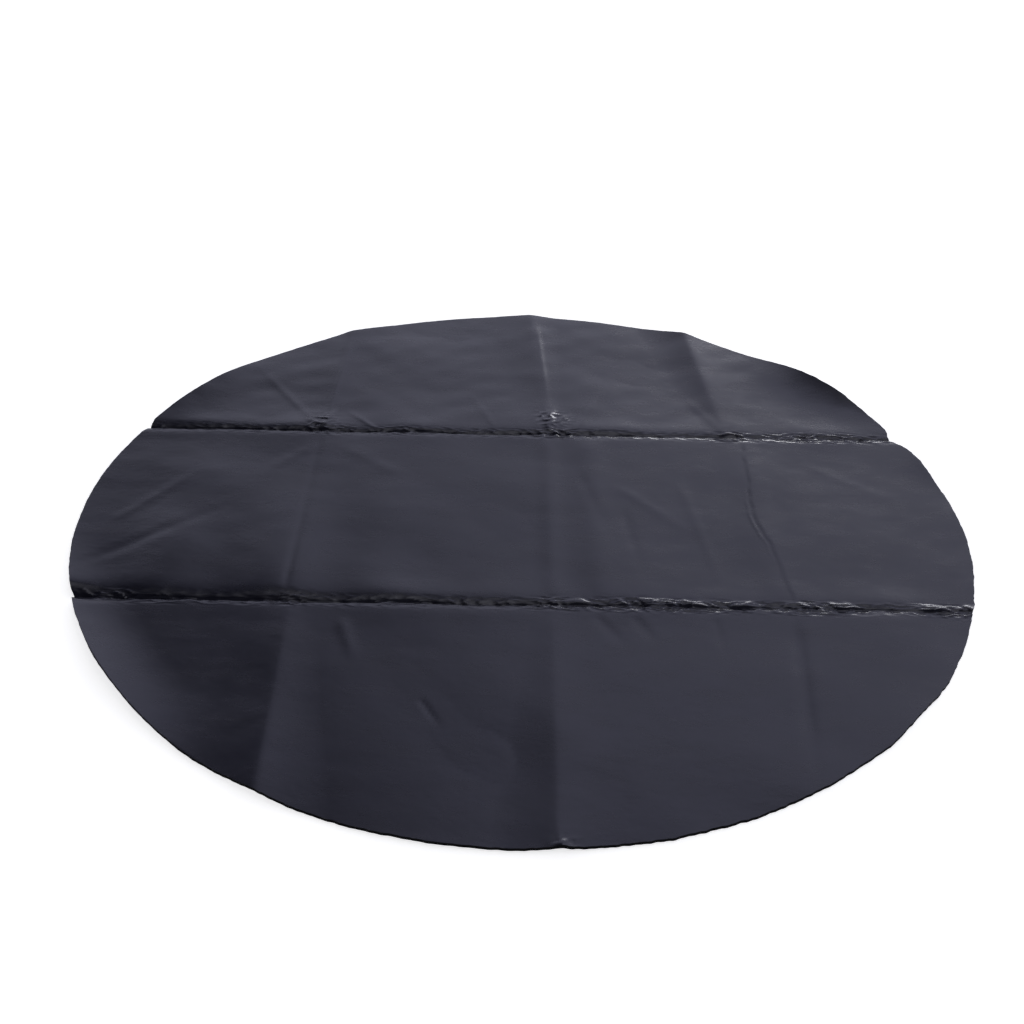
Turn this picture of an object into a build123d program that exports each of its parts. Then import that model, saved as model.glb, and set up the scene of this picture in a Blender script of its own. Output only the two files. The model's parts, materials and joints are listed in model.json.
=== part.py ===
"""A round fold-up spa cover: foam panels between two bonded films, divided at its fold creases.

Millimetres, +Z up. The origin is the middle of the disc, on the surface that the cover lies on.
Seen from the front (looking along +Y), left is -X and the rear edge is at +Y.
"""
from build123d import *
import math
import os

# Driving sizes
RADIUS = 900.0              # the cover is cut as a plain disc
FILM = 0.4                  # top and bottom film
FOAM = 5.2                  # closed-cell foam sheet between the films
SLIT = 0.6                  # gap between neighbouring panels along a crease

# Fold creases: two run left to right, three run front to rear
REAR_CREASE_Y = 315.0
FRONT_CREASE_Y = -301.5
LEFT_CREASE_X = -441.0
CENTRE_CREASE_X = 54.0
RIGHT_CREASE_X = 495.0

# Ridges that stand up along the creases of the rear band, highest at the rim
RIDGE_HALF_WIDTH = 95.0     # from the crest to the foot of a flank, measured at the rim
RIDGE_HEIGHT = {"left": 10.0, "centre": 14.0, "right": 16.0}

THICKNESS = 2 * FILM + FOAM
HALF_SLIT = SLIT / 2
FAR = RADIUS + 20           # beyond the rim, where the disc cuts every panel

# Each layer's name, its underside and its thickness
LAYERS = (
    ("bottom_film", 0.0, FILM),
    ("foam_core", FILM, FOAM),
    ("top_film", FILM + FOAM, FILM),
)

# Each band's name and its two edges in Y
BANDS = (
    ("rear", REAR_CREASE_Y + HALF_SLIT, FAR),
    ("middle", FRONT_CREASE_Y + HALF_SLIT, REAR_CREASE_Y - HALF_SLIT),
    ("front", -FAR, FRONT_CREASE_Y - HALF_SLIT),
)

# Each column's name, its two edges in X, and the crease on each side of it
COLUMNS = (
    ("outer_left", -FAR, LEFT_CREASE_X - HALF_SLIT, None, "left"),
    ("inner_left", LEFT_CREASE_X + HALF_SLIT, CENTRE_CREASE_X - HALF_SLIT, "left", "centre"),
    ("inner_right", CENTRE_CREASE_X + HALF_SLIT, RIGHT_CREASE_X - HALF_SLIT, "centre", "right"),
    ("outer_right", RIGHT_CREASE_X + HALF_SLIT, FAR, "right", None),
)


def save(part, name):
    """Label a finished piece and write its STEP file."""
    part.label = name
    export_step(part, f"parts/{name}.step")


def rim_y(x):
    """The rear rim's Y at a given X."""
    return math.sqrt(RADIUS**2 - x**2)


def ridge_corners(edge_x, outward):
    """Plan corners of one flank: its end on the row crease, its crest past the rim, its foot past the rim."""
    start = (edge_x, REAR_CREASE_Y + HALF_SLIT)
    stretch = (FAR - start[1]) / (rim_y(edge_x) - start[1])
    foot_x = edge_x + outward * RIDGE_HALF_WIDTH * stretch
    return start, (edge_x, FAR), (foot_x, FAR)


def panel_outline(band, low_x, high_x, low_y, high_y, left_crease, right_crease):
    """Corners of a panel before the disc trims it. A rear panel leaves room for its ridge flanks."""
    corners = [(low_x, low_y), (high_x, low_y)]
    if band == "rear" and right_crease:
        corners.append(ridge_corners(high_x, -1)[2])
    else:
        corners.append((high_x, high_y))
    if band == "rear" and left_crease:
        corners.append(ridge_corners(low_x, 1)[2])
    else:
        corners.append((low_x, high_y))
    return corners


def flat_layer(name, corners, underside, thickness):
    """One layer of a flat panel: the panel's outline, trimmed to the disc."""
    with BuildPart() as layer:
        with BuildSketch(Plane.XY.offset(underside)):
            Circle(RADIUS)
            with BuildLine():
                Polyline(*corners, close=True)
            make_face(mode=Mode.INTERSECT)
        extrude(amount=thickness)
    save(layer.part, name)


def flank_layer(name, corners, crest_height, underside, thickness):
    """One layer of a ridge flank: a tilted triangle from its foot up to its crest, trimmed to the disc."""
    start, crest, foot = corners
    stretch = (crest[1] - start[1]) / (rim_y(start[0]) - start[1])
    lifted_crest = (*crest, underside + crest_height * stretch)
    with BuildPart() as layer:
        with BuildLine() as edges:
            Polyline((*start, underside), lifted_crest, (*foot, underside), close=True)
        extrude(Face(edges.wire()), amount=thickness, dir=(0, 0, 1))
        with BuildSketch(Plane.XY):
            Circle(RADIUS)
        extrude(amount=10 * THICKNESS, mode=Mode.INTERSECT)
    save(layer.part, name)


os.makedirs("parts", exist_ok=True)

for band, low_y, high_y in BANDS:
    for column, low_x, high_x, left_crease, right_crease in COLUMNS:
        corners = panel_outline(band, low_x, high_x, low_y, high_y, left_crease, right_crease)
        for layer_name, underside, thickness in LAYERS:
            flat_layer(f"{layer_name}_{band}_{column}", corners, underside, thickness)

# The ridge flanks are layered as the panels are
for column, low_x, high_x, left_crease, right_crease in COLUMNS:
    for crease, edge_x, outward in ((left_crease, low_x, 1), (right_crease, high_x, -1)):
        if crease is None:
            continue
        corners = ridge_corners(edge_x, outward)
        for layer_name, underside, thickness in LAYERS:
            name = f"ridge_{layer_name}_{crease}_of_{column}"
            flank_layer(name, corners, RIDGE_HEIGHT[crease], underside, thickness)
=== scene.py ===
"""Looks of the round fold-up spa cover: one rumpled film-and-foam sheet, cut into pieces at its creases.

Metres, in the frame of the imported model: +Z up, left is -X, the rear edge is at +Y. Names that end in
_lift are heights, added up in lift() for the underside and in thickness() for what lies on it.
"""
import json
import math

import bmesh
import bpy
import numpy as np
from mathutils import Matrix, Vector


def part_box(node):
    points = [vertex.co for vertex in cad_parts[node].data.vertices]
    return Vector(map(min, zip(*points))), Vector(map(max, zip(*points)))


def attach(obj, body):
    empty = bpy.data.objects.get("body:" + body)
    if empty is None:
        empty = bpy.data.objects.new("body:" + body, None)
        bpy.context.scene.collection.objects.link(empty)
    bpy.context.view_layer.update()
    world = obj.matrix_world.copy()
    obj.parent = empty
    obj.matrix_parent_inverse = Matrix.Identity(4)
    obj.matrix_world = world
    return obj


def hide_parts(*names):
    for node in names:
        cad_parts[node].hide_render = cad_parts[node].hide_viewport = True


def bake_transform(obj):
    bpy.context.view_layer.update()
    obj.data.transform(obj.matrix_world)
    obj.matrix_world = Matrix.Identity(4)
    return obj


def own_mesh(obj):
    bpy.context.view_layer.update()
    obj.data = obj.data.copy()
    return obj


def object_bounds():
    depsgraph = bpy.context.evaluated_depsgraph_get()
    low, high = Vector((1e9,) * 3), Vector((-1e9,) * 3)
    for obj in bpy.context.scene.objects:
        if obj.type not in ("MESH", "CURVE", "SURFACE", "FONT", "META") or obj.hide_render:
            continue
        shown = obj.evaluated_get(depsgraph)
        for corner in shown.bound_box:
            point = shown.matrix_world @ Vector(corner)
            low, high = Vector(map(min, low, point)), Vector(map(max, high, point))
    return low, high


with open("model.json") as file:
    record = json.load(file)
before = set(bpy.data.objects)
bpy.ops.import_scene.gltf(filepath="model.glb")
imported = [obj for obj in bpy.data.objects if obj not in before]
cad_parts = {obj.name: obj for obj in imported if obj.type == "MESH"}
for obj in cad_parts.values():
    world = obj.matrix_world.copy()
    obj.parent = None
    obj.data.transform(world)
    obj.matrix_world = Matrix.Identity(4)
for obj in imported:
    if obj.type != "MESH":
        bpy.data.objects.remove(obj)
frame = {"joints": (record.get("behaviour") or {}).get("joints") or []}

cad_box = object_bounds()

MM = 0.001
LAYERS = ("bottom_film", "foam_core", "top_film")


# ---------------------------------------------------------------- sizes, read from the frame

def between(lower, upper, axis):
    """The middle of the slit between two CAD nodes."""
    return (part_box(lower)[1][axis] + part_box(upper)[0][axis]) / 2


RADIUS = (cad_box[1][0] - cad_box[0][0]) / 2
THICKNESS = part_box("top_film_middle_inner_left")[1][2]

LEFT_X = between("foam_core_middle_outer_left", "foam_core_middle_inner_left", 0)
CENTRE_X = between("foam_core_middle_inner_left", "foam_core_middle_inner_right", 0)
RIGHT_X = between("foam_core_middle_inner_right", "foam_core_middle_outer_right", 0)
REAR_Y = between("foam_core_middle_inner_left", "foam_core_rear_inner_left", 1)
FRONT_Y = between("foam_core_front_inner_left", "foam_core_middle_inner_left", 1)

AXIS_HEIGHT = {joint["name"]: joint["pos_m"][2] for joint in frame["joints"]}


def bend_reach(joint):
    """Half the width of the strip that bends round a hinge, so that it keeps its length when folded."""
    return math.pi / 2 * (AXIS_HEIGHT[joint] - THICKNESS / 2)


REAR_REACH = bend_reach("rear_fold")
FRONT_REACH = bend_reach("front_fold")

# Each column: its name and the crease on its left and on its right
COLUMNS = (
    ("outer_left", None, "left"),
    ("inner_left", "left", "centre"),
    ("inner_right", "centre", "right"),
    ("outer_right", "right", None),
)
CREASE_X = {"left": LEFT_X, "centre": CENTRE_X, "right": RIGHT_X}
RIM_SIDE = {"rear": "high", "front": "low"}       # the side of a band's panels that lies on the rim

# Width of the flanks beside a crease at the rim, on its left and on its right
FLANK_WIDTH = {
    "rear": {"left": (110 * MM, 110 * MM), "centre": (130 * MM, 100 * MM), "right": (200 * MM, 60 * MM)},
    "front": {"left": (80 * MM, 80 * MM), "centre": (80 * MM, 80 * MM), "right": (100 * MM, 80 * MM)},
}
FLANK_START = 16 * MM             # width of a flank where it leaves the row crease


# ---------------------------------------------------------------- the rumpled surface

def smooth(t):
    """Ease from 0 to 1 as t goes from 0 to 1."""
    t = np.clip(t, 0, 1)
    return t * t * (3 - 2 * t)


def mix(a, b, share):
    return a + (b - a) * share


def waves(x, y, seed, short, long, count=14):
    """Gentle noise of about -1 to 1: cosine waves of seeded directions, with lengths from short to long."""
    rng = np.random.default_rng(seed)
    total = np.zeros(np.broadcast(x, y).shape)
    for _ in range(count):
        length = short * (long / short) ** rng.random()
        angle = rng.random() * math.pi
        phase = rng.random() * 2 * math.pi
        total += np.cos(2 * math.pi * (x * math.cos(angle) + y * math.sin(angle)) / length + phase)
    return total / math.sqrt(count)


def crinkle(x, y, seed, short, long):
    """Noise with sharp folds, 0 to 1, as in creased film."""
    return np.clip(1 - np.abs(waves(x, y, seed, short, long)), 0, 1)


def bell(distance, width):
    """1 at no distance, about a third at width, and soon nothing beyond it."""
    return np.exp(-((distance / width) ** 2))


def swell(distance, height, reach):
    """Height beside a crease: nothing on it, most at reach, then fading."""
    return height * (distance / reach) * np.exp(1 - distance / reach)


# Fold ridges: band, crest's X at the row crease and at the rim (shares of the radius), height,
# and the width of the left and right slopes at the rim
RIDGES = (
    ("rear", -0.500, -0.480, 7.4 * MM, 110 * MM, 100 * MM),
    ("rear", 0.068, 0.022, 7.8 * MM, 120 * MM, 70 * MM),
    ("rear", 0.512, 0.457, 14.2 * MM, 105 * MM, 140 * MM),
    ("front", -0.487, -0.476, 9.4 * MM, 170 * MM, 110 * MM),
    ("front", 0.062, 0.056, 5.6 * MM, 100 * MM, 120 * MM),
)

CREST_RADIUS = 8 * MM             # roundness of a ridge's crest
RIDGE_START = 0.35                # a ridge's width at the row crease, as a share of its width at the rim
RIDGE_RUN = 1.1                   # how far the crest's line runs on: 1 is the rim
RIDGE_CLIMB = 0.9                 # power of the crest's climb towards the rim: 1 is straight
RIDGE_HOLLOW = 1.8                # power of a ridge's slopes: 1 is straight, more is hollow
CURL_HOLLOW = 2.2                 # the same for a curl of the rim

# Curled stretches of rim: middle and spread in degrees from +X, height, reach inwards
CURLS = (
    (14.0, 5.0, 8 * MM, 120 * MM),
    (38.0, 11.0, 24.8 * MM, 160 * MM),
    (146.0, 10.0, 11 * MM, 180 * MM),
    (212.0, 16.0, 22 * MM, 114 * MM),
    (262.0, 9.0, 3 * MM, 140 * MM),
    (318.0, 11.0, 5 * MM, 120 * MM),
)

# Folds of the middle band: X as a share of the radius, height at the rear and front ends, half-width.
# A negative height is a groove.
MIDDLE_FOLDS = (
    (-0.501, -0.3 * MM, -1.0 * MM, 9 * MM),
    (0.062, 1.4 * MM, 1.5 * MM, 20 * MM),
    (0.165, 2.6 * MM, 1.6 * MM, 34 * MM),
    (0.540, 1.0 * MM, 3.0 * MM, 40 * MM),
)
MIDDLE_FADE = 70 * MM             # way in from a row crease over which these folds rise

# Crumpled spots on the row creases: crease, X as a share of the radius, half-length, height
CRUMPLES = (
    ("rear", -0.490, 34 * MM, 3.6 * MM),
    ("rear", -0.300, 60 * MM, 1.2 * MM),
    ("rear", 0.085, 42 * MM, 4.2 * MM),
    ("rear", 0.515, 34 * MM, 3.4 * MM),
    ("rear", 0.740, 140 * MM, 2.1 * MM),
    ("front", -0.860, 50 * MM, 1.8 * MM),
    ("front", -0.490, 26 * MM, 2.0 * MM),
    ("front", 0.060, 40 * MM, 2.0 * MM),
    ("front", 0.300, 130 * MM, 2.4 * MM),
    ("front", 0.620, 60 * MM, 2.8 * MM),
    ("front", 0.890, 60 * MM, 2.2 * MM),
)
CRUMPLE_EVERYWHERE = 1.1 * MM     # height of the crushed film all along a row crease
CRUMPLE_WIDTH = 15 * MM
CRUMPLE_BELOW = 0.4               # share of a crumple that the underside follows

# Tucks, where the film is folded over just behind the front row crease: X as a share of the radius,
# half-length, height
TUCKS = (
    (0.120, 22 * MM, 3.5 * MM),
    (0.300, 95 * MM, 5.0 * MM),
    (0.470, 30 * MM, 4.0 * MM),
    (0.650, 75 * MM, 4.6 * MM),
    (0.900, 80 * MM, 4.6 * MM),
)
TUCK_WIDTH = 18 * MM
TUCK_EDGE = 2 * MM                # how far behind the crease a tuck ends, and the width of its drop
TUCK_RAGGED = (0.85, 1.2)         # its share of full height on average, and how much that varies

# Places where a crease draws the rim in: degrees from +X, spread, depth
NOTCHES = ((20.6, 1.6, 13 * MM), (159.4, 1.3, 5 * MM), (199.6, 1.0, 4 * MM))

# Crumpled spots away from the row creases: place as shares of the radius, size, height
SPOTS = (
    (0.066, -0.997, 17 * MM, 3.6 * MM),
    (0.079, 0.420, 30 * MM, 3.0 * MM),
    (-0.505, 0.385, 28 * MM, 3.0 * MM),
)

# Secondary creases: X and Y of both ends as shares of the radius, height, half-width.
# A negative height is a groove.
FAINT_CREASES = (
    (-0.505, 0.360, -0.730, 0.700, 0.7 * MM, 10 * MM),
    (-0.505, 0.360, -0.475, 0.460, 1.6 * MM, 7 * MM),
    (-0.360, 0.350, -0.460, 0.460, 0.8 * MM, 7 * MM),
    (0.134, 0.350, 0.210, 0.590, 1.0 * MM, 8 * MM),
    (0.062, 0.340, 0.079, 0.500, 1.8 * MM, 10 * MM),
    (0.040, 0.960, 0.070, 0.440, 1.0 * MM, 7 * MM),
    (-0.470, 0.860, -0.500, 0.380, 0.9 * MM, 6 * MM),
    (-0.060, 0.350, -0.150, 0.580, 0.5 * MM, 9 * MM),
    (0.512, 0.350, 0.600, 0.640, 0.8 * MM, 10 * MM),
    (0.512, 0.350, 0.400, 0.600, 0.5 * MM, 10 * MM),
    (0.370, 0.150, 0.402, -0.080, 0.8 * MM, 12 * MM),
    (0.390, 0.010, 0.425, -0.270, 0.8 * MM, 12 * MM),
    (0.200, 0.140, 0.410, -0.100, 0.8 * MM, 15 * MM),
    (0.225, 0.060, 0.260, -0.260, -0.7 * MM, 12 * MM),
    (0.130, 0.200, 0.200, -0.120, -0.7 * MM, 14 * MM),
    (-0.980, -0.260, -0.600, 0.070, -0.7 * MM, 16 * MM),
    (-0.940, -0.090, -0.740, 0.190, 0.5 * MM, 14 * MM),
    (-0.450, 0.280, -0.250, 0.120, 0.5 * MM, 16 * MM),
    (-0.500, 0.290, -0.640, 0.120, 0.5 * MM, 16 * MM),
    (-0.205, -0.620, -0.150, -0.720, -0.7 * MM, 7 * MM),
    (-0.380, -0.380, -0.330, -0.540, 0.9 * MM, 12 * MM),
    (0.140, -0.360, 0.215, -0.480, -0.8 * MM, 12 * MM),
    (0.220, -0.360, 0.275, -0.470, -0.8 * MM, 12 * MM),
    (0.395, -0.360, 0.400, -0.500, -0.7 * MM, 9 * MM),
    (0.566, -0.340, 0.518, -0.880, -2.4 * MM, 15 * MM),
    (0.660, 0.250, 0.900, 0.050, 0.5 * MM, 16 * MM),
)
FAINT_RISE = 0.25                 # share of a faint crease's length over which it comes in
FAINT_FALL = 0.5                  # and over which it fades out

# The wandering crease beside the right column crease in the middle band: X and Y as shares of the radius
WANDERING = (
    (0.548, 0.345), (0.541, 0.190), (0.532, 0.060), (0.534, -0.040), (0.556, -0.130), (0.570, -0.345),
)
WANDERING_STRAY = 1.5 * MM        # how far it trembles about that line
WANDERING_END = 30 * MM           # way in from a row crease over which it rises
WANDERING_STEP = 1.5 * MM         # how far the film steps up on its right
WANDERING_STEP_WIDTH = 14 * MM
WANDERING_FADE = 90 * MM          # way over which the step comes down again
WANDERING_RIDGE = 0.7 * MM        # the fine ridge on its left, along the middle of its length
WANDERING_RIDGE_OFFSET = 10 * MM  # how far to its left that ridge stands
WANDERING_RIDGE_WIDTH = 4 * MM

# The sheet's own unevenness
ROLLING = 0.9 * MM                # long rolling waves
SMUDGES = 0.09 * MM               # short ones, seen only as uneven tone
REAR_SLACK = 2.0                  # how much more the rear band has of the short ones
REAR_SLACK_START = 120 * MM       # way behind the rear crease over which that comes in
SETTLED_WIDTH = 16 * MM           # half-width of the stretch beside a row crease that lies down
LOOSE_SHARE = 0.55                # share by which it doesn't, at the loose right end of the rear crease

# Swells beside the row creases: height, and how far from the crease they stand
SWELL_BEHIND = (3.0 * MM, 26 * MM)
SWELL_BEFORE = (1.2 * MM, 20 * MM)
SWELL_LEFT = (7.0 * MM, 110 * MM)     # a broad one, behind the left part of the front crease
SWELL_LEFT_FADE = 200 * MM        # way in from the rear crease over which that one rises
SWELL_UNEVEN = 0.35               # how much the height of all of them varies along the crease

# The crushed line of a row crease: depth as a share of the thickness, how much that varies, its limits
CRUSH_DEPTH = 0.70
CRUSH_UNEVEN = 0.16
CRUSH_LIMITS = (0.35, 0.88)
CRUSH_WIDTH = 2.8 * MM
CRUSH_WANDER = 2.0 * MM           # how far the line strays to each side
CRUSH_LOSS = 0.74                 # share of the depth that is lost towards the right

# The rim, cut by hand: short and long strays, how much is cut away, and how far in the points move
RIM_SHORT = 0.9 * MM
RIM_LONG = 1.2 * MM
RIM_CUT = 0.6 * MM
RIM_ZONE = 20 * MM


def row_gaps(y):
    """Distance from the rear and from the front row crease."""
    return np.abs(y - REAR_Y), np.abs(y - FRONT_Y)


def ridge_lift(x, y):
    """The tents that stand along the column creases of the rear and front bands."""
    total = 0
    for band, inner, outer, height, left_width, right_width in RIDGES:
        side, crease_y = (1, REAR_Y) if band == "rear" else (-1, FRONT_Y)
        end_y = side * math.sqrt(RADIUS**2 - (outer * RADIUS) ** 2)
        along = np.clip((y - crease_y) / (end_y - crease_y), 0, RIDGE_RUN)
        offset = x - RADIUS * (inner + (outer - inner) * along)
        width = np.where(offset > 0, right_width, left_width) * mix(RIDGE_START, 1, along)
        across = (np.hypot(offset, CREST_RADIUS) - CREST_RADIUS) / width
        total = total + height * along**RIDGE_CLIMB * np.clip(1 - across, 0, 1) ** RIDGE_HOLLOW
    return total


def curl_lift(x, y):
    """The stretches of rim that curl up off the floor."""
    angle = np.degrees(np.arctan2(y, x)) % 360
    inwards = RADIUS - np.hypot(x, y)
    total = 0
    for middle, spread, height, reach in CURLS:
        shape = np.clip(1 - inwards / reach, 0, 1) ** CURL_HOLLOW
        total = total + height * bell(angle - middle, spread) * shape
    return total


def middle_lift(x, y):
    """Soft folds along the creases of the middle band."""
    along = np.clip((REAR_Y - y) / (REAR_Y - FRONT_Y), 0, 1)
    inside = smooth((y - FRONT_Y) / MIDDLE_FADE) * smooth((REAR_Y - y) / MIDDLE_FADE)
    total = 0
    for share, rear_height, front_height, half_width in MIDDLE_FOLDS:
        height = mix(rear_height, front_height, along)
        total = total + height * bell(x - share * RADIUS, half_width)
    return inside * total


def shards(x, y):
    """Creased film drawn out along a row crease: long slivers that meet in sharp folds, -0.3 to 1."""
    level = np.abs(waves(0.28 * x, y, seed=11, short=10 * MM, long=26 * MM))
    slanted = np.abs(waves(0.5 * x + 0.3 * y, y - 0.25 * x, seed=13, short=16 * MM, long=40 * MM))
    return np.clip(1 - 0.75 * level - 0.5 * slanted, -0.3, 1)


def crumple_lift(x, y):
    """Crushed film along the row creases, and in a few spots."""
    folds = shards(x, y)
    total = 0
    for band, gap in zip(("rear", "front"), row_gaps(y)):
        height = CRUMPLE_EVERYWHERE
        for where, share, length, most in CRUMPLES:
            if where == band:
                height = height + most * bell(x - share * RADIUS, length)
        total = total + height * bell(gap, CRUMPLE_WIDTH) * folds
    creased = crinkle(x, y, seed=15, short=22 * MM, long=60 * MM)
    for share_x, share_y, size, height in SPOTS:
        distance = np.hypot(x - share_x * RADIUS, y - share_y * RADIUS)
        total = total + height * bell(distance, size) * creased
    return total


def tuck_lift(x, y):
    """Film folded over behind the front row crease: it climbs towards the crease and drops there."""
    behind = y - FRONT_Y - TUCK_EDGE
    climb = np.clip(1 - np.abs(behind) / TUCK_WIDTH, 0, 1)
    shape = np.where(behind > 0, climb, bell(behind, TUCK_EDGE))
    total = 0
    for share, length, height in TUCKS:
        total = total + height * bell(x - share * RADIUS, length)
    usual, varies = TUCK_RAGGED
    ragged = usual + varies * waves(x + 1.2 * behind, 0 * x, seed=14, short=30 * MM, long=100 * MM)
    return total * smooth(ragged) * shape


def wandering_lift(x, y):
    """A crease that wanders to each side: the film steps up on its right, with a fine ridge on its left."""
    places = sorted((share_y * RADIUS, share_x * RADIUS) for share_x, share_y in WANDERING)
    path = np.interp(y, [place[0] for place in places], [place[1] for place in places])
    stray = WANDERING_STRAY * waves(y, 0 * y, seed=17, short=40 * MM, long=110 * MM, count=6)
    offset = x - path - stray
    ends = smooth((y - FRONT_Y) / WANDERING_END) * smooth((REAR_Y - y) / WANDERING_END)
    up = smooth(offset / WANDERING_STEP_WIDTH + 0.5)
    step = WANDERING_STEP * up * np.exp(-np.maximum(offset, 0) / WANDERING_FADE)
    middle = bell(y + 0.03 * RADIUS, 0.11 * RADIUS)
    ridge = WANDERING_RIDGE * middle * bell(offset + WANDERING_RIDGE_OFFSET, WANDERING_RIDGE_WIDTH)
    return ends * (step + ridge)


def faint_lift(x, y):
    """Straight creases and soft tone marks left by folding, each fading out towards its far end."""
    total = 0
    for start_x, start_y, end_x, end_y, height, width in FAINT_CREASES:
        start = np.array((start_x, start_y)) * RADIUS
        way = np.array((end_x, end_y)) * RADIUS - start
        length = np.hypot(*way)
        along = ((x - start[0]) * way[0] + (y - start[1]) * way[1]) / length**2
        across = ((x - start[0]) * way[1] - (y - start[1]) * way[0]) / length
        ends = smooth(along / FAINT_RISE) * smooth((1 - along) / FAINT_FALL)
        total = total + height * ends * bell(across, width)
    return total


def lift(x, y):
    """Height of the sheet's underside over the floor."""
    rear_gap, front_gap = row_gaps(y)
    loose_end = smooth((x - 0.62 * RADIUS) / (0.22 * RADIUS))
    settled = 1 - bell(rear_gap, SETTLED_WIDTH) * (1 - LOOSE_SHARE * loose_end)
    settled = settled * (1 - bell(front_gap, SETTLED_WIDTH))
    rolling = ROLLING * (1 + waves(x, y, seed=3, short=200 * MM, long=560 * MM, count=10))
    high = rolling + ridge_lift(x, y) + curl_lift(x, y) + middle_lift(x, y)
    beside = 0
    for crease_y, gap in ((REAR_Y, rear_gap), (FRONT_Y, front_gap)):
        beside = beside + np.where(y > crease_y, swell(gap, *SWELL_BEHIND), swell(gap, *SWELL_BEFORE))
    on_left = smooth((-0.20 * RADIUS - x) / (0.28 * RADIUS)) * (y > FRONT_Y)
    beside = beside + on_left * swell(front_gap, *SWELL_LEFT) * smooth((REAR_Y - y) / SWELL_LEFT_FADE)
    uneven = 1 + SWELL_UNEVEN * waves(x, 0 * y, seed=5, short=150 * MM, long=420 * MM, count=8)
    slack = 1 + REAR_SLACK * smooth((y - REAR_Y) / REAR_SLACK_START)
    smudges = SMUDGES * slack * (1 + waves(x, y, seed=23, short=60 * MM, long=180 * MM, count=24))
    clear = np.maximum(settled * high + beside * uneven + smudges, 0)
    return clear + crumple_lift(x, y) * CRUMPLE_BELOW


def thickness(x, y):
    """The foam is crushed thinner in the row creases, and the film stands up in creases and crumples."""
    line = CRUSH_WANDER * waves(x, 0 * x, seed=41, short=60 * MM, long=220 * MM, count=6)
    uneven = CRUSH_UNEVEN * waves(x, 0 * x, seed=42, short=25 * MM, long=80 * MM, count=8)
    towards_right = smooth((x + 0.1 * RADIUS) / (0.7 * RADIUS))
    depth = np.clip(CRUSH_DEPTH + uneven, *CRUSH_LIMITS) * (1 - CRUSH_LOSS * towards_right)
    crushed = 1
    for crease_y in (REAR_Y, FRONT_Y):
        crushed = crushed - depth * np.exp(-np.abs(y - crease_y - line) / CRUSH_WIDTH)
    film = faint_lift(x, y) + wandering_lift(x, y) + tuck_lift(x, y)
    return THICKNESS * crushed + film + crumple_lift(x, y) * (1 - CRUMPLE_BELOW)


def top(x, y):
    """Height of the sheet's top over the floor."""
    return lift(x, y) + thickness(x, y)


def trim(x, y):
    """Move points near the rim in or out a little: the disc was cut by hand, and creases draw it in."""
    distance = np.hypot(x, y)
    angle = np.arctan2(y, x)
    rough = 0.5 + 0.5 * smooth((np.cos(angle + 0.5) + 0.2) / 0.8)
    arc = angle * RADIUS
    short_strays = RIM_SHORT * waves(arc, 0 * arc, seed=21, short=11 * MM, long=60 * MM)
    long_strays = RIM_LONG * waves(arc, 0 * arc, seed=22, short=120 * MM, long=500 * MM)
    near = smooth((distance - RADIUS + RIM_ZONE) / RIM_ZONE)
    drawn_in = 0
    for where, spread, depth in NOTCHES:
        drawn_in = drawn_in + depth * bell(np.degrees(angle) % 360 - where, spread)
    scale = 1 + near * (rough * (short_strays + long_strays - RIM_CUT) - drawn_in) / RADIUS
    return x * scale, y * scale


# ---------------------------------------------------------------- plans of the pieces

STEP = 7 * MM                     # spacing of points on the open panels
CREASE_STEP = 3.6 * MM            # spacing along the row creases and across the flanks
FINE_STEP = 2.4 * MM              # spacing across the bending strips
FINE_ZONE = 40 * MM               # width of the finely spaced zone of a middle panel beside its crease


def rim_y(x):
    """Distance from the middle to the rim at X, or at Y."""
    return np.sqrt(np.maximum(RADIUS**2 - x**2, 0))


def shares(length, step=STEP, fine_low=0, fine_high=0):
    """Shares from 0 to 1 for an edge of this length, with fine steps for a way in from either end."""
    stops = (0, fine_low, length - fine_high, length)
    runs = [
        np.linspace(start, end, max(2, math.ceil((end - start) / spacing)) + 1)[:-1]
        for start, end, spacing in zip(stops, stops[1:], (FINE_STEP, step, FINE_STEP))
        if end > start
    ]
    return np.append(np.concatenate(runs), length) / length


def band_plan(left, right, low_y, high_y, across_step=STEP, up_step=STEP, fine_zone=0):
    """Grid between two Y lines. A side given as None follows the rim; the others may have a fine zone."""
    up = shares(high_y - low_y, up_step)[None, :]
    y = mix(low_y, high_y, up)
    left_x = -rim_y(y) if left is None else left + 0 * y
    right_x = rim_y(y) if right is None else right + 0 * y
    fine_low, fine_high = (0 if side is None else fine_zone for side in (left, right))
    across = shares(float((right_x - left_x).max()), across_step, fine_low, fine_high)[:, None]
    x = mix(left_x, right_x, across)
    return x, y + 0 * x


def fan_plan(start, end, start_y, side, across_step=STEP):
    """Grid from a line near a row crease out to the rim. start and end are the X range at each.

    side is 1 for the rear band and -1 for the front one. Its rows run from front to rear in both.
    """
    across = shares(max(start[1] - start[0], end[1] - end[0]), across_step)[:, None]
    longest = RADIUS - abs(start_y)
    out = shares(longest)[None, :]
    start_x = mix(start[0], start[1], across)
    end_x = mix(end[0], end[1], across)
    x = mix(start_x, end_x, out)
    y = mix(start_y, side * rim_y(end_x), out)
    if side < 0:
        return x[:, ::-1], y[:, ::-1]
    return x, y


# ---------------------------------------------------------------- meshes

NORMAL_STEP = 0.8 * MM            # way to each side over which a slope is measured
STEEP = 0.6                       # a face whose normal is less upright than this is part of a wall
WELD = 0.02 * MM                  # points closer than this are joined
FILM_SHARE = 0.04                 # share of the thickness at which the wall turns from film to foam
FILM_INSET = 0.35 * MM            # how far the film's cut edge stands in from the rim
FOAM_INSET = 0.5 * MM             # the same for the middle of the foam
WALL_RAGGED = 0.35 * MM           # how far the cut edge strays in and out


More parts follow.
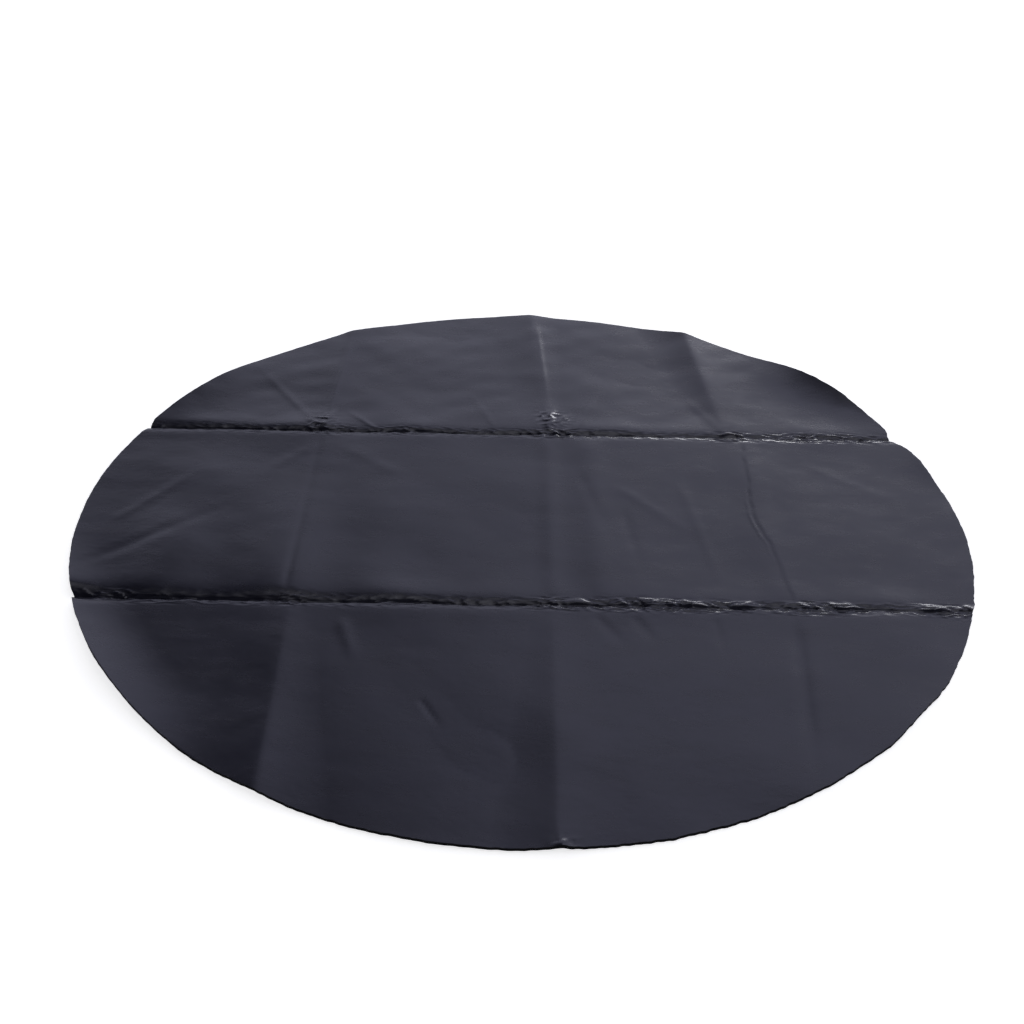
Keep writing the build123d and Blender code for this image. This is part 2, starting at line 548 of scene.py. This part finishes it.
def cell_faces(count_u, count_v, offset, flip):
    """Quads of one grid of points, numbered from offset."""
    u, v = np.meshgrid(np.arange(count_u - 1), np.arange(count_v - 1), indexing="ij")
    corner = offset + u * count_v + v
    ring = [corner, corner + count_v, corner + count_v + 1, corner + 1]
    if flip:
        ring.reverse()
    return np.stack(ring, axis=-1).reshape(-1, 4)


def side_loop(count_u, count_v):
    """Grid numbers round the four sides, anticlockwise from above, with each side's own name."""
    grid = np.arange(count_u * count_v).reshape(count_u, count_v)
    return {
        "low": grid[:, 0],
        "right": grid[-1, :],
        "high": grid[::-1, -1],
        "left": grid[0, ::-1],
    }


def surface_normals(x, y):
    """Upward normals of the top surface."""
    slope_x = (top(x + NORMAL_STEP, y) - top(x - NORMAL_STEP, y)) / (2 * NORMAL_STEP)
    slope_y = (top(x, y + NORMAL_STEP) - top(x, y - NORMAL_STEP)) / (2 * NORMAL_STEP)
    normal = np.stack((-slope_x, -slope_y, np.ones_like(slope_x)), axis=-1)
    return normal / np.linalg.norm(normal, axis=-1, keepdims=True)


def wall_rows(top_points, bottom_points):
    """Levels of a cut rim, set back and slightly ragged: top and bottom of the foam, and its middle."""
    outward = top_points[:, :2] / np.linalg.norm(top_points[:, :2], axis=1, keepdims=True)
    arc = np.arctan2(top_points[:, 1], top_points[:, 0]) * RADIUS
    rows = []
    for level, inset in ((FILM_SHARE, FILM_INSET), (0.5, FOAM_INSET), (1 - FILM_SHARE, FILM_INSET)):
        row = mix(top_points, bottom_points, level)
        seed = 31 + int(level * 100)
        ragged = WALL_RAGGED * waves(arc, 0 * arc + level, seed, short=5 * MM, long=25 * MM)
        row[:, :2] -= outward * (inset + ragged)[:, None]
        rows.append(row)
    return rows


def build_piece(name, plan, rim_sides=()):
    """A closed piece of the sheet over a plan grid, with cut foam showing on its rim sides.

    The first material slot is the film, the second the foam.
    """
    x, y = trim(*plan)
    count_u, count_v = x.shape
    upper = np.stack((x, y, top(x, y)), axis=-1).reshape(-1, 3)
    lower = np.stack((x, y, lift(x, y)), axis=-1).reshape(-1, 3)
    points = [upper, lower]
    faces = [cell_faces(count_u, count_v, 0, False), cell_faces(count_u, count_v, len(upper), True)]
    slots = [np.zeros(len(faces[0]), int), np.zeros(len(faces[1]), int)]
    total = 2 * len(upper)
    for side, ring in side_loop(count_u, count_v).items():
        levels = [ring]
        if side in rim_sides:
            for row in wall_rows(upper[ring], lower[ring]):
                points.append(row)
                levels.append(total + np.arange(len(ring)))
                total += len(ring)
        levels.append(ring + len(upper))
        for number, (above, below) in enumerate(zip(levels, levels[1:])):
            quads = np.stack((above[:-1], below[:-1], below[1:], above[1:]), axis=-1)
            is_foam = side in rim_sides and 0 < number < len(levels) - 2
            faces.append(quads)
            slots.append(np.full(len(quads), int(is_foam)))
    mesh = bpy.data.meshes.new(name)
    mesh.from_pydata(np.concatenate(points).tolist(), [], np.concatenate(faces).tolist())
    mesh.materials.append(FILM_MATERIAL)
    mesh.materials.append(FOAM_MATERIAL)
    mesh.polygons.foreach_set("material_index", np.concatenate(slots).astype(np.int32))
    weld(mesh)
    shade(mesh)
    piece = bpy.data.objects.new(name, mesh)
    bpy.context.collection.objects.link(piece)
    return piece


def weld(mesh):
    """Join points that meet, such as where a fan of cells runs out to a corner on the rim."""
    work = bmesh.new()
    work.from_mesh(mesh)
    bmesh.ops.remove_doubles(work, verts=work.verts, dist=WELD)
    bmesh.ops.dissolve_degenerate(work, edges=work.edges, dist=WELD / 2)
    bmesh.ops.recalc_face_normals(work, faces=work.faces)
    work.to_mesh(mesh)
    work.free()


def shade(mesh):
    """Smooth normals that run on over the joints between pieces; the walls keep their own."""
    mesh.shade_smooth()
    face_normals = np.empty(len(mesh.polygons) * 3)
    mesh.polygons.foreach_get("normal", face_normals)
    face_normals = face_normals.reshape(-1, 3)
    loop_count = np.empty(len(mesh.polygons), int)
    mesh.polygons.foreach_get("loop_total", loop_count)
    owner = np.repeat(np.arange(len(mesh.polygons)), loop_count)
    corner = np.empty(len(mesh.loops), int)
    mesh.loops.foreach_get("vertex_index", corner)
    points = np.empty(len(mesh.vertices) * 3)
    mesh.vertices.foreach_get("co", points)
    points = points.reshape(-1, 3)
    upward = surface_normals(points[:, 0], points[:, 1])[corner]
    facing = face_normals[owner]
    normals = np.where(facing[:, 2:] < -STEEP, -upward, facing)
    normals = np.where(facing[:, 2:] > STEEP, upward, normals)
    mesh.normals_split_custom_set(normals.tolist())


# ---------------------------------------------------------------- materials

# Tints: two stops, each a place in the pattern and its colour
FILM_TINTS = ((0.35, (0.008, 0.008, 0.014, 1)), (0.70, (0.013, 0.013, 0.022, 1)))
FILM_ROUGHNESS = (0.21, 0.30)
FILM_SHINE = (0.86, 0.86, 1.0, 1)
# The foam's tints are nearly black: its own dark colour, darkened further as painted shade of the cut edge
# in shadow
FOAM_TINTS_AND_PAINTED_SHADE = ((0.0, (0.0015, 0.0015, 0.002, 1)), (1.0, (0.005, 0.005, 0.006, 1)))
FOAM_ROUGHNESS = (0.95, 0.75)
FOAM_CELLS = 900                  # cells to the metre
FLOOR_GREY = 0.9
FLOOR_GLOW = 0.75


def stretched_noise(tree, scale, detail, roughness, turned=0):
    """Noise over the piece's own coordinates, with a scale for each axis, turned in plan by degrees."""
    place = tree.nodes.new("ShaderNodeTexCoord")
    mapping = tree.nodes.new("ShaderNodeMapping")
    mapping.inputs["Scale"].default_value = scale
    mapping.inputs["Rotation"].default_value[2] = math.radians(turned)
    noise = tree.nodes.new("ShaderNodeTexNoise")
    noise.inputs["Scale"].default_value = 1.0
    noise.inputs["Detail"].default_value = detail
    noise.inputs["Roughness"].default_value = roughness
    tree.links.new(place.outputs["Object"], mapping.inputs["Vector"])
    tree.links.new(mapping.outputs["Vector"], noise.inputs["Vector"])
    return noise.outputs["Fac"]


def ranged(tree, value, low, high, new_low, new_high):
    """Map a value's range low..high to new_low..new_high."""
    made = tree.nodes.new("ShaderNodeMapRange")
    made.inputs["From Min"].default_value = low
    made.inputs["From Max"].default_value = high
    made.inputs["To Min"].default_value = new_low
    made.inputs["To Max"].default_value = new_high
    tree.links.new(value, made.inputs["Value"])
    return made.outputs["Result"]


def ramped(tree, value, stops):
    """Colour of a value between two stops, each a place and a colour."""
    made = tree.nodes.new("ShaderNodeValToRGB")
    for element, (position, colour) in zip(made.color_ramp.elements, stops):
        element.position = position
        element.color = colour
    tree.links.new(value, made.inputs["Fac"])
    return made.outputs["Color"]


def maths(tree, operation, first, second):
    """An operation on two values, each a number or another node's output."""
    made = tree.nodes.new("ShaderNodeMath")
    made.operation = operation
    for number, value in enumerate((first, second)):
        if isinstance(value, (int, float)):
            made.inputs[number].default_value = value
        else:
            tree.links.new(value, made.inputs[number])
    return made.outputs["Value"]


def bump(tree, height, strength, distance, under=None):
    """A bump over the surface's own normals, or over another bump."""
    made = tree.nodes.new("ShaderNodeBump")
    made.inputs["Strength"].default_value = strength
    made.inputs["Distance"].default_value = distance
    tree.links.new(height, made.inputs["Height"])
    if under is not None:
        tree.links.new(under, made.inputs["Normal"])
    return made.outputs["Normal"]


def film_material():
    """Thin satin vinyl: fine sideways wrinkles, leathery grain, slightly uneven gloss and tint."""
    material = bpy.data.materials.new("satin_film")
    material.use_nodes = True
    tree = material.node_tree
    shader = tree.nodes["Principled BSDF"]
    shader.inputs["IOR"].default_value = 1.5
    shader.inputs["Specular IOR Level"].default_value = 0.5
    shader.inputs["Specular Tint"].default_value = FILM_SHINE

    mottling = stretched_noise(tree, (5, 9, 5), detail=4, roughness=0.6)
    tree.links.new(ramped(tree, mottling, FILM_TINTS), shader.inputs["Base Color"])
    gloss = stretched_noise(tree, (14, 30, 14), detail=5, roughness=0.65)
    tree.links.new(ranged(tree, gloss, 0.3, 0.7, *FILM_ROUGHNESS), shader.inputs["Roughness"])

    patches = stretched_noise(tree, (6, 8, 6), detail=2, roughness=0.5)
    wrinkled = ranged(tree, patches, 0.35, 0.65, 0.25, 1.0)
    long_wrinkles = stretched_noise(tree, (14, 22, 16), detail=4, roughness=0.56, turned=20)
    pebbles = stretched_noise(tree, (60, 110, 90), detail=2, roughness=0.5)
    grain = stretched_noise(tree, (500, 650, 600), detail=1, roughness=0.5)
    wrinkles = maths(tree, "MULTIPLY", long_wrinkles, wrinkled)
    normal = bump(tree, wrinkles, strength=0.18, distance=3.0 * MM)
    normal = bump(tree, pebbles, strength=0.13, distance=1.0 * MM, under=normal)
    normal = bump(tree, grain, strength=0.06, distance=0.10 * MM, under=normal)
    tree.links.new(normal, shader.inputs["Normal"])
    return material


def foam_material():
    """Cut closed-cell foam: matte and pitted; nearly black, its own dark colour with painted shade of the
    shadowed cut edge.
    """
    material = bpy.data.materials.new("cut_foam")
    material.use_nodes = True
    tree = material.node_tree
    shader = tree.nodes["Principled BSDF"]
    shader.inputs["Specular IOR Level"].default_value = 0.04

    pits = tree.nodes.new("ShaderNodeTexVoronoi")
    pits.inputs["Scale"].default_value = FOAM_CELLS
    place = tree.nodes.new("ShaderNodeTexCoord")
    tree.links.new(place.outputs["Object"], pits.inputs["Vector"])
    cells = pits.outputs["Distance"]
    # Base colour: the foam's own dark tint, with painted shade of the shadowed cut edge
    tree.links.new(ramped(tree, cells, FOAM_TINTS_AND_PAINTED_SHADE), shader.inputs["Base Color"])
    tree.links.new(ranged(tree, cells, 0, 1, *FOAM_ROUGHNESS), shader.inputs["Roughness"])
    normal = bump(tree, cells, strength=0.6, distance=0.5 * MM)
    tree.links.new(normal, shader.inputs["Normal"])
    return material


def floor_material():
    """Matte and pale, with a glow of its own that keeps it near white."""
    material = bpy.data.materials.new("pale_floor")
    material.use_nodes = True
    shader = material.node_tree.nodes["Principled BSDF"]
    shader.inputs["Base Color"].default_value = (FLOOR_GREY, FLOOR_GREY, FLOOR_GREY, 1)
    shader.inputs["Roughness"].default_value = 0.9
    shader.inputs["Emission Color"].default_value = (1, 1, 1, 1)
    shader.inputs["Emission Strength"].default_value = FLOOR_GLOW
    return material


FILM_MATERIAL = film_material()
FOAM_MATERIAL = foam_material()


# ---------------------------------------------------------------- floor

FLOOR_REACH = 12.0                # from the middle to each side
FLOOR_GAP = 0.5 * MM              # how far it lies below the model


def add_floor():
    """The plain floor that the cover lies on."""
    mesh = bpy.data.meshes.new("floor")
    signs = ((-1, -1), (1, -1), (1, 1), (-1, 1))
    corners = [(FLOOR_REACH * across, FLOOR_REACH * back, 0) for across, back in signs]
    mesh.from_pydata(corners, [], [(0, 1, 2, 3)])
    mesh.materials.append(floor_material())
    floor = bpy.data.objects.new("floor", mesh)
    floor.location.z = cad_box[0][2] - FLOOR_GAP
    bpy.context.collection.objects.link(floor)
    return floor


FLOOR = add_floor()


# ---------------------------------------------------------------- the pieces


def finish_piece(replaced=()):
    if replaced:
        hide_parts(*replaced)


def layers(band, column):
    """The CAD nodes of one panel."""
    return [f"{layer}_{band}_{column}" for layer in LAYERS]


def ridge_layers(crease, column):
    """The CAD nodes of one flank of a rear ridge."""
    return [f"ridge_{layer}_{crease}_of_{column}" for layer in LAYERS]


def flatten(piece):
    """Give a piece its own copy of its mesh."""
    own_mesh(piece)


def rim_sides_of(left, right):
    """The sides of a column's piece that lie on the rim, where it has no crease."""
    return [side for side, crease in (("left", left), ("right", right)) if crease is None]


def add_row_strip(band, column, left, right, crease_y, reach):
    """The strip of a row crease in one column, with its transform baked into its mesh.
    """
    low_y, high_y = crease_y - reach, crease_y + reach
    left_x, right_x = CREASE_X.get(left), CREASE_X.get(right)
    plan = band_plan(left_x, right_x, low_y, high_y, across_step=CREASE_STEP, up_step=FINE_STEP)
    piece = build_piece(f"{band}_crease_{column}", plan, rim_sides_of(left, right))
    finish_piece()
    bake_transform(piece)


def add_flank(band, column, crease, towards, start_y):
    """The flank on a column crease's right (towards is 1) or left (towards is -1).

    Returns the X of the flank's far side, near the row crease and at the rim.
    """
    side = 1 if band == "rear" else -1
    crease_x = CREASE_X[crease]
    width = FLANK_WIDTH[band][crease][(towards + 1) // 2]
    start_x = crease_x + towards * FLANK_START
    end_x = crease_x + towards * width
    plan = fan_plan(sorted((crease_x, start_x)), sorted((crease_x, end_x)), start_y, side, CREASE_STEP)
    piece = build_piece(f"{band}_{crease}_flank_of_{column}", plan, [RIM_SIDE[band]])
    finish_piece(ridge_layers(crease, column) if band == "rear" else ())
    flatten(piece)
    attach(piece, f"{band}_{column}")
    return start_x, end_x


def add_outer_band(band, crease_y, reach):
    """The panels of the rear or front band, and the flanks beside their column creases."""
    side = 1 if band == "rear" else -1
    start_y = crease_y + side * reach
    rim_x = float(rim_y(start_y))
    for column, left, right in COLUMNS:
        add_row_strip(band, column, left, right, crease_y, reach)
        starts, ends = [-rim_x, rim_x], [-rim_x, rim_x]
        for number, crease, towards in ((0, left, 1), (1, right, -1)):
            if crease is not None:
                starts[number], ends[number] = add_flank(band, column, crease, towards, start_y)
        plan = fan_plan(starts, ends, start_y, side)
        piece = build_piece(f"{band}_panel_{column}", plan, [RIM_SIDE[band]])
        finish_piece(layers(band, column))
        if column.startswith("outer"):
            flatten(piece)
        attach(piece, f"{band}_{column}")


def add_middle_band():
    """The middle panels, and the strips along the column creases between them.
    """
    low_y, high_y = FRONT_Y + FRONT_REACH, REAR_Y - REAR_REACH
    for column, left, right in COLUMNS:
        left_x = None if left is None else CREASE_X[left] + bend_reach(f"{left}_fold")
        right_x = None if right is None else CREASE_X[right] - bend_reach(f"{right}_fold")
        plan = band_plan(left_x, right_x, low_y, high_y, fine_zone=FINE_ZONE)
        piece = build_piece(f"middle_panel_{column}", plan, rim_sides_of(left, right))
        finish_piece(layers("middle", column))
        if column.startswith("outer"):
            flatten(piece)
        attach(piece, f"middle_{column}")
    for crease, left_column, right_column in (
        ("left", "outer_left", "inner_left"),
        ("centre", "inner_left", "inner_right"),
        ("right", "inner_right", "outer_right"),
    ):
        reach = bend_reach(f"{crease}_fold")
        crease_x = CREASE_X[crease]
        plan = band_plan(crease_x - reach, crease_x + reach, low_y, high_y, across_step=FINE_STEP)
        piece = build_piece(f"middle_crease_{crease}", plan)
        finish_piece()
        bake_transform(piece)


add_outer_band("rear", REAR_Y, REAR_REACH)
add_outer_band("front", FRONT_Y, FRONT_REACH)
add_middle_band()


# ---------------------------------------------------------------- light

WORLD_LEVEL = 1.56
WORLD_TINT = (0.85, 0.86, 1.05)

# Brightness by height: 0 is the horizon and all below it, 1 is straight overhead
WORLD_BRIGHTNESS = (
    (0.0, 1.0), (0.20, 0.95), (0.35, 0.74), (0.45, 0.52), (0.52, 0.465),
    (0.66, 0.64), (0.73, 0.71), (0.81, 0.10), (1.0, 0.08),
)

# The rest of the studio, by the part of a direction that points right (X), back (Y) or up (Z).
# Brightness from left to right and from front to rear: two places, and the brightness at each
LEFT_TO_RIGHT = (-0.35, 0.02, 0.92, 1.0)
FRONT_TO_REAR = (-0.6, 0.2, 0.15, 1.0)

# The unlit wall on the left: the places between which its shade fades out, and its depth; further
# left it is darker, and darkest in the corner. Each part's foot fades in between two heights
NEAR_WALL = (-0.03, 0.05, 0.45)
NEAR_WALL_FOOT = (0.54, 0.66)
FAR_WALL = (-0.20, -0.09, 0.64)
CORNER = (-0.30, -0.19, 0.26)
FAR_WALL_FOOT = (0.46, 0.57)


def add_world():
    """A soft studio, bright low behind the cover and on the right.

    It has a dark ceiling, and an unlit wall high on the left, darker further to the left.
    """
    world = bpy.data.worlds.new("studio")
    bpy.context.scene.world = world
    world.use_nodes = True
    tree = world.node_tree
    background = tree.nodes["Background"]
    place = tree.nodes.new("ShaderNodeTexCoord")
    split = tree.nodes.new("ShaderNodeSeparateXYZ")
    tree.links.new(place.outputs["Generated"], split.inputs["Vector"])
    right, back, high = (split.outputs[axis] for axis in "XYZ")

    height = tree.nodes.new("ShaderNodeValToRGB")
    ramp = height.color_ramp
    for position, level in WORLD_BRIGHTNESS:
        if position in (0.0, 1.0):
            stop = ramp.elements[int(position)]
        else:
            stop = ramp.elements.new(position)
        stop.color = (*(level * part for part in WORLD_TINT), 1)
    tree.links.new(high, height.inputs["Fac"])

    near_wall = ranged(tree, right, *NEAR_WALL, 0)
    far_wall = maths(tree, "ADD", ranged(tree, right, *FAR_WALL, 0), ranged(tree, right, *CORNER, 0))
    near_shade = maths(tree, "MULTIPLY", near_wall, ranged(tree, high, *NEAR_WALL_FOOT, 0, 1))
    far_shade = maths(tree, "MULTIPLY", far_wall, ranged(tree, high, *FAR_WALL_FOOT, 0, 1))
    strength = maths(tree, "MULTIPLY", ranged(tree, right, *LEFT_TO_RIGHT), WORLD_LEVEL)
    for shade_of_wall in (near_shade, far_shade):
        lit = maths(tree, "SUBTRACT", 1.0, shade_of_wall)
        strength = maths(tree, "MULTIPLY", strength, lit)
    strength = maths(tree, "MULTIPLY", strength, ranged(tree, back, *FRONT_TO_REAR))
    tree.links.new(height.outputs["Color"], background.inputs["Color"])
    tree.links.new(strength, background.inputs["Strength"])


def add_softbox(name, place, target, size, power):
    """A rectangular area light that faces its target."""
    light = bpy.data.lights.new(name, "AREA")
    light.shape = "RECTANGLE"
    light.size, light.size_y = size
    light.energy = power
    lamp = bpy.data.objects.new(name, light)
    lamp.location = place
    lamp.rotation_euler = (Vector(target) - Vector(place)).to_track_quat("-Z", "Y").to_euler()
    bpy.context.collection.objects.link(lamp)


add_world()
add_softbox("rear_softbox", place=(2.4, 5.0, 0.8), target=(0.2, 0, 0), size=(3.5, 0.7), power=48)


# ---------------------------------------------------------------- camera

# The eye, in radii of the disc, where it looks, in degrees, and its lens, in millimetres
EYE = (-0.0528, -2.5588, 1.7688)
PITCH_DOWN = 34.50
YAW_RIGHT = 0.607
ROLL = 1.41
LENS = 47.68
SENSOR = 36


def add_camera():
    """The camera at the eye: level along the floor first, then pitched, turned and rolled."""
    pitch, yaw, roll = (math.radians(angle) for angle in (PITCH_DOWN, YAW_RIGHT, ROLL))
    forward = Vector((
        math.sin(yaw) * math.cos(pitch),
        math.cos(yaw) * math.cos(pitch),
        -math.sin(pitch),
    ))
    level = Vector((math.cos(yaw), -math.sin(yaw), 0))
    upright_axis = level.cross(forward)
    across = level * math.cos(roll) + upright_axis * math.sin(roll)
    up = upright_axis * math.cos(roll) - level * math.sin(roll)
    camera = bpy.data.objects.new("camera", bpy.data.cameras.new("camera"))
    camera.data.lens = LENS
    camera.data.sensor_width = SENSOR
    turned = Matrix((across, up, -forward)).transposed().to_4x4()
    camera.matrix_world = Matrix.Translation(Vector(EYE) * RADIUS) @ turned
    bpy.context.collection.objects.link(camera)
    bpy.context.scene.camera = camera


add_camera()
bpy.context.scene.view_settings.view_transform = "Standard"
